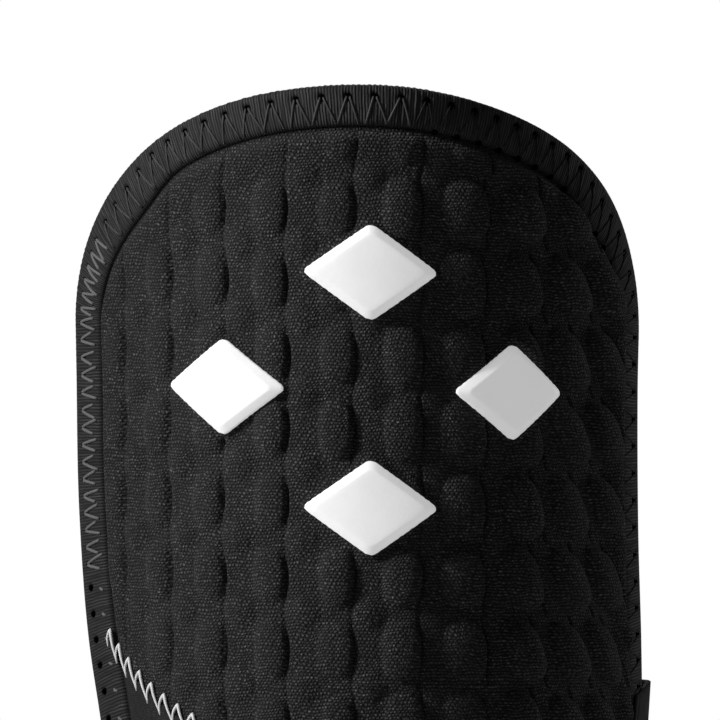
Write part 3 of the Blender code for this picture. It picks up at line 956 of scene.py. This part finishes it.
def binding_stitches(line, counts):
    """A V of thread from each needle hole down to the sewn line."""
    closed = closed_line(line)
    inward = closed_line(inset(line, 1.0)) - closed
    dark, middling, pale, pits = [], [], [], []
    for number in range(1, int(counts[-1]) - 1):
        middle = number + 0.5
        here = read_line(middle, counts, closed)
        inset_here = needle_inset(np.array([here]))[0]
        pits.append(needle_pit(middle, inset_here, PIT_DEPTH, closed, counts, inward))
        if here[0] > DULL_TO_GIRTH:
            seam = TAPE_WIDTH - 0.1 * MM
            pits.append(needle_pit(number, seam, SEAM_PIT_DEPTH, closed, counts, inward))
        # Painted light: the same dark thread gets a pale grey copy on the lit left edge and a less dark copy
        # on the top's left half, where the light falls.
        left = here[0] < -60 * MM
        light = left and CLOSE_FROM < here[1] < GREY_TO
        dull = here[1] > GREY_TO and here[0] < DULL_TO_GIRTH
        if left and here[1] <= CLOSE_FROM:
            pale.append(short_stitch(middle, closed, counts, inward))
            continue
        for side in (-1, 1):
            share = np.linspace(0, 1, 9)
            uneven = 0.08 * math.sin(number * 2.3 + side)
            place = middle + side * (0.05 + ((0.33 if light else 0.38) + uneven) * share)
            first = needle_inset(read_line(place, counts, closed))
            pulled = 0.7 * MM * math.sin(number * 1.7 + 2 * side)
            last = first + 5.0 * MM + pulled if light else TAPE_WIDTH - 0.6 * MM
            distance = first + (last - first) * share
            lift = 0.24 * MM * np.sin(np.clip(share, 0.02, 0.98) * math.pi) ** 0.4 - 0.12 * MM
            path = on_tape(place, distance, lift, closed, counts, inward)
            (pale if light else middling if dull else dark).append(path)
    # Painted shade: dark beads in the needle holes and on the seam stand in for the shade there.
    pit = PIT_RADIUS * np.sqrt(1.02 - np.linspace(-1, 1, 9) ** 2)
    thread_piece("needle_hole_shade_beads", pits, pit, hole_shade_material(), 8)
    for name, paths, radius, material in (
        ("binding_stitches", dark, DARK_THREAD, thread_material("dark_thread", 0.006, 0.7)),
        ("binding_stitches_top", middling, DULL_THREAD, thread_material("dull_thread_painted_light", 0.038, 0.6)),
        ("binding_stitches_left", pale, GREY_THREAD, thread_material("grey_thread_painted_light", 0.15, 0.6)),
    ):
        thread_piece(name, paths, radius, material)


def needle_pit(middle, distance, depth, closed, counts, inward):
    """A dark bead sunk in the tape, standing in as painted shade for the inside of one needle hole."""
    base, turn = (read_line(middle, counts, line) for line in (closed, inward))
    along = np.array([turn[1], -turn[0]]) / np.linalg.norm(turn)
    spot = base + turn * distance * tape_share(base[None])[0]
    line = spot + PIT_RADIUS * np.linspace(-1, 1, 9)[:, None] * along
    return wrap(line[:, 0], line[:, 1], tape_front_level(distance) - depth)


def short_stitch(middle, closed, counts, inward):
    """The little that shows of a stitch that lies behind the tape and comes up by its inner edge."""
    share = np.linspace(0, 1, 7)
    place = middle + 0.1 + 0.12 * share
    distance = (8.2 + 1.0 * share) * MM
    lift = 0.3 * MM * np.sin(share * math.pi) - 0.2 * MM
    return on_tape(place, distance, lift, closed, counts, inward)


def seam_stitches():
    """The white zigzag that holds the panel to the quilting."""
    right = reach(np.array([148 * MM]), 1)[0] - TAPE_WIDTH * (1 + SIDE_TAPE) - 2 * MM
    first, last = -0.42, 0.58
    share = np.linspace(first, last, 25)
    drop = np.interp(share, (first, 0.0, last), (1.0, 0.0, 1.0))
    paths = []
    girth = ZIGZAG_START
    while girth < right:
        slope = abs(seam_rise(girth + MM) - seam_rise(girth)) / MM
        ahead = ZIGZAG_PITCH / math.hypot(1, slope)
        rounded = 1 - np.sqrt(np.clip(1 - drop**2, 0, None)) * 0.35 - 0.65 * (1 - drop)
        u = girth + ahead * (share - 0.10 * np.sin(drop * math.pi))
        v = seam_rise(girth + ahead * share) - ZIGZAG_HEIGHT * rounded
        level = np.maximum(cover_level(u, v)[0], 0.2 * MM)
        lift = 0.55 * MM * np.clip(1 - drop**6, 0, None)
        paths.append(wrap(u, v, level + lift - 0.1 * MM))
        girth += ahead
    thick = np.interp(share, (first, -0.1, 0.12, last), (0.24, 0.42, 0.46, 0.26)) * MM
    white = thread_material("white_thread", 0.85, 0.5)
    thread_piece("seam_stitches", paths, thick, white, 8)


def emblem_piece(name, material):
    """A bevelled lozenge, in loops from its seat to the middle of its face."""
    line = LOZENGE_LINES[name]
    middle = line.mean(axis=0)
    number = np.arange(len(line))
    rough = 1 + 0.005 * np.sin(number * 2.9) + 0.003 * np.sin(number * 1.7)
    inner_radius = LOZENGE_WIDTH * LOZENGE_HEIGHT / math.hypot(LOZENGE_WIDTH, LOZENGE_HEIGHT)
    loops = [(0.0, 0.2), (0.0, 0.70), (0.10, 0.92), (0.32, 1.10)]
    loops += [(1.75, 2.12), (2.0, 2.26), (2.35, 2.32)]
    loops += [(distance, 2.32) for distance in np.linspace(3.4, inner_radius / MM, 8)]
    rings, levels = [], []
    for distance, level in loops:
        share = 1 - distance * MM / inner_radius
        edge = rough if distance < 0.5 else np.ones(len(line))
        rings.append(middle + (line - middle) * share * edge[:, None])
        levels.append(EMBLEM_SEAT - 0.3 * MM + level * MM)
    rings = np.stack([np.vstack([ring, ring[:1]]) for ring in rings])
    levels = np.array(levels)[:, None]
    points = wrap(rings[..., 0], rings[..., 1], levels)
    piece = grid_piece(f"lozenge_{name}", points, rings, material, flip=True)
    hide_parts(f"emblem_{name}")


def strap_path(rise, stations=120):
    """Middle of a strap at one height, from the right rim's outside round to the left rim's inside."""
    outside = -EDGE_DIP + GAP + TAPE - 0.1 * MM + STRAP / 2
    inside = -EDGE_DIP - EDGE_WALL - GAP - TAPE - STRAP_GAP - STRAP / 2
    right, left = reach(rise, 1), -reach(rise, -1)
    on_right = wrap(np.linspace(right - STRAP_SEWN, right, 8), rise, outside)
    on_left = wrap(np.linspace(left, left + STRAP_SEWN, 8), rise, inside)
    leave = on_right[-1] - on_right[-2]
    arrive = on_left[0] - on_left[1]
    leave *= STRAP_BULGE / np.linalg.norm(leave)
    arrive *= STRAP_BULGE / np.linalg.norm(arrive)
    share = np.linspace(0, 1, stations)[1:-1, None]
    behind = (
        (1 - share) ** 3 * on_right[-1]
        + 3 * (1 - share) ** 2 * share * (on_right[-1] + leave)
        + 3 * (1 - share) * share**2 * (on_left[0] + arrive)
        + share**3 * on_left[0]
    )
    path = np.vstack([on_right, behind, on_left])
    path[:, 2] = rise
    return path


def outward(low, high):
    """Unit steps away from the leg along a band between two edge lines."""
    ahead = np.gradient((low + high) / 2, axis=0)
    out = np.stack([ahead[:, 1], -ahead[:, 0], np.zeros(len(ahead))], axis=-1)
    return out / np.linalg.norm(out, axis=1, keepdims=True)


def band_piece(name, low, high, near, far, material):
    """A flat woven band between two edge lines, from near to far outside its middle."""
    round_off = (far - near) * 0.35
    section = [(0.0, near + round_off), (0.0, far - round_off), (0.008, far)]
    section += [(share, far) for share in np.linspace(0.05, 0.95, 10)]
    section += [(0.992, far), (1.0, far - round_off), (1.0, near + round_off), (0.992, near)]
    section += [(share, near) for share in np.linspace(0.95, 0.05, 10)]
    section += [(0.008, near), (0.0, near + round_off)]
    out = outward(low, high)
    run = line_lengths(high)
    from_end = np.minimum(run, run[-1] - run)
    thin = np.ones(len(run))
    if near < 0:
        thin = 0.4 + 0.6 * ease(from_end / (4 * MM))
        taper = 3.5 * MM * (1 - ease(from_end / (16 * MM)))[:, None] * np.array([0, 0, 1])
        low, high = low + taper, high - taper
    rows, drawing = [], []
    for share, offset in section:
        rows.append(low + (high - low) * share + out * offset * thin[:, None])
        drawing.append(np.stack([run, np.full(len(run), share * STRAP_WIDTH)], axis=-1))
    points, drawing = np.stack(rows), np.stack(drawing)
    for end in (0, -1):
        middle = points[:, end].mean(axis=0)
        edge = (middle + (points[:, end] - middle) * 0.02)[:, None]
        points = np.concatenate([edge, points] if end == 0 else [points, edge], axis=1)
        more = drawing[:, end][:, None]
        drawing = np.concatenate([more, drawing] if end == 0 else [drawing, more], axis=1)
    return grid_piece(name, points, drawing, material)


def straps():
    """Both straps with their hook tabs."""
    elastic = tape_material("woven_elastic", 0.002, 0.014, 0.00025, 0.9)
    hook = knit_material("hook_tape", 0.004, 0.016, 0.04, 0.0004, wale=1.3, row=1.3)
    thread = thread_material("strap_thread", 0.05, 0.6)
    for name, top in STRAP_TOPS.items():
        low, high = strap_path(top - STRAP_WIDTH), strap_path(top)
        band = band_piece(f"{name}_band", low, high, -STRAP / 2, STRAP / 2, elastic)
        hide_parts(name)
        low, high = strap_path(top - STRAP_WIDTH + TAB_MARGIN), strap_path(top - TAB_MARGIN)
        run = line_lengths(high)
        kept = np.flatnonzero(np.abs(run - run[-1] / 2) < TAB_LENGTH / 2)
        span = slice(kept[0], kept[-1] + 1)
        near = STRAP / 2 + GAP
        tab = band_piece(f"{name}_hook", low[span], high[span], near, near + TAB, hook)
        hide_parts(f"{name}_tab")
        strap_stitches(name, low[span], high[span], near + TAB, thread)


def strap_stitches(name, low, high, level, material):
    """Stitches along the tab's upper and lower edges."""
    margin = 0.07
    out = outward(low, high)
    number = np.arange(len(low))
    paths = []
    for share in (margin, 1 - margin):
        line = low + (high - low) * share
        for stop in np.arange(2, len(line) - 3, 1.2):
            along = np.linspace(stop, stop + 0.85, 5)
            lift = level + 0.12 * MM * np.sin(np.linspace(0, 1, 5) * math.pi)
            normal = read_line(along, number, out)
            paths.append(read_line(along, number, line) + normal * lift[:, None])
    thread_piece(f"{name}_tab_stitches", paths, 0.22 * MM, material)


# Stage


def place_light(name, lamp, place, target):
    """Puts a lamp at a place, aimed at the target."""
    light = bpy.data.objects.new(name, lamp)
    light.location = place
    light.rotation_euler = (Vector(target) - Vector(place)).to_track_quat("-Z", "Y").to_euler()
    bpy.context.scene.collection.objects.link(light)
    return light


def area_light(name, place, target, size, power):
    """A soft round light."""
    lamp = bpy.data.lights.new(name, "AREA")
    lamp.shape = "DISK"
    lamp.size = size
    lamp.energy = power
    place_light(name, lamp, place, target)


def spot_light(name, place, target, power):
    """A narrow upright beam on the front of the guard."""
    lamp = bpy.data.lights.new(name, "SPOT")
    lamp.energy = power
    lamp.spot_size = math.radians(6.6)
    lamp.spot_blend = 1.0
    lamp.shadow_soft_size = 0.08
    place_light(name, lamp, place, target).scale = (1, 3, 1)


def studio():
    """The pale floor, the lights and the white world."""
    floor_mesh = bpy.data.meshes.new("studio_floor")
    half = 2.0
    corners = [(-half, -half, 0), (half, -half, 0), (half, half, 0), (-half, half, 0)]
    floor_mesh.from_pydata(corners, [], [(0, 1, 2, 3)])
    floor = bpy.data.objects.new("studio_floor", floor_mesh)
    bpy.context.scene.collection.objects.link(floor)
    material, _, shader = start_material("pale_floor")
    shader.inputs["Base Color"].default_value = grey(0.8)
    shader.inputs["Roughness"].default_value = 0.9
    floor_mesh.materials.append(material)
    target = (0, 0, 0.24)
    area_light("key_light", (-1.4, -0.52, 1.35), target, 0.45, 17.5)
    area_light("front_fill", (-0.9, -1.6, 0.6), target, 1.2, 1.1)
    area_light("right_edge", (1.2, 0.9, 0.5), target, 0.6, 1.5)
    area_light("back_fill", (0.0, 1.7, 1.0), target, 1.2, 5)
    front = (0.016, FRONT_LINE[1] + 0.004, 0.26)
    spot_light("front_edge_light", (-1.5, -0.5, 0.80), front, 126)
    world = bpy.data.worlds.new("studio_white")
    bpy.context.scene.world = world
    world.use_nodes = True
    made = Nodes(world.node_tree)
    background = world.node_tree.nodes["Background"]
    seen = made.add("ShaderNodeLightPath").outputs["Is Camera Ray"]
    made.feed(background.inputs["Color"], (1, 1, 1, 1))
    made.feed(background.inputs["Strength"], made.span(seen, 0, 1, 0.05, 1.0))


# The view: the photo shows 720 pixels, each this much of the guard.
PIXEL = 0.267 * MM
PIXELS = 720
VIEW_DISTANCE = 5.0
VIEW_TURN = math.radians(-4.1)
VIEW_LIFT = math.radians(0.6)
TOP_PIXEL = 89
FRONT_LINE_PIXEL = 374
RIM_DEPTH = 75 * MM


def camera():
    """The photo's view: nearly straight on, from far off."""
    lens = bpy.data.cameras.new("view_camera")
    lens.sensor_width = 36
    lens.sensor_fit = "HORIZONTAL"
    lens.lens = lens.sensor_width * (VIEW_DISTANCE + RIM_DEPTH) / (PIXELS * PIXEL)
    view = bpy.data.objects.new("view_camera", lens)
    bpy.context.scene.collection.objects.link(view)
    level = math.cos(VIEW_LIFT)
    back = Vector((math.sin(VIEW_TURN) * level, -math.cos(VIEW_TURN) * level, math.sin(VIEW_LIFT)))
    right = Vector((math.cos(VIEW_TURN), math.sin(VIEW_TURN), 0))
    rise = HEIGHT - (PIXELS / 2 - TOP_PIXEL) * PIXEL
    target = Vector((*FRONT_LINE[:2], rise)) - right * (FRONT_LINE_PIXEL - PIXELS / 2) * PIXEL
    view.location = target + back * VIEW_DISTANCE
    view.rotation_euler = back.to_track_quat("Z", "Y").to_euler()
    bpy.context.scene.camera = view
    bpy.context.scene.view_settings.view_transform = "Standard"


camera()
studio()
quilted_cover()
shell_lining()
lower_panel()
outline, counts = edge_binding()
binding_stitches(outline, counts)
seam_stitches()
white = emblem_material()
for name in LOZENGE_LINES:
    emblem_piece(name, white)
straps()
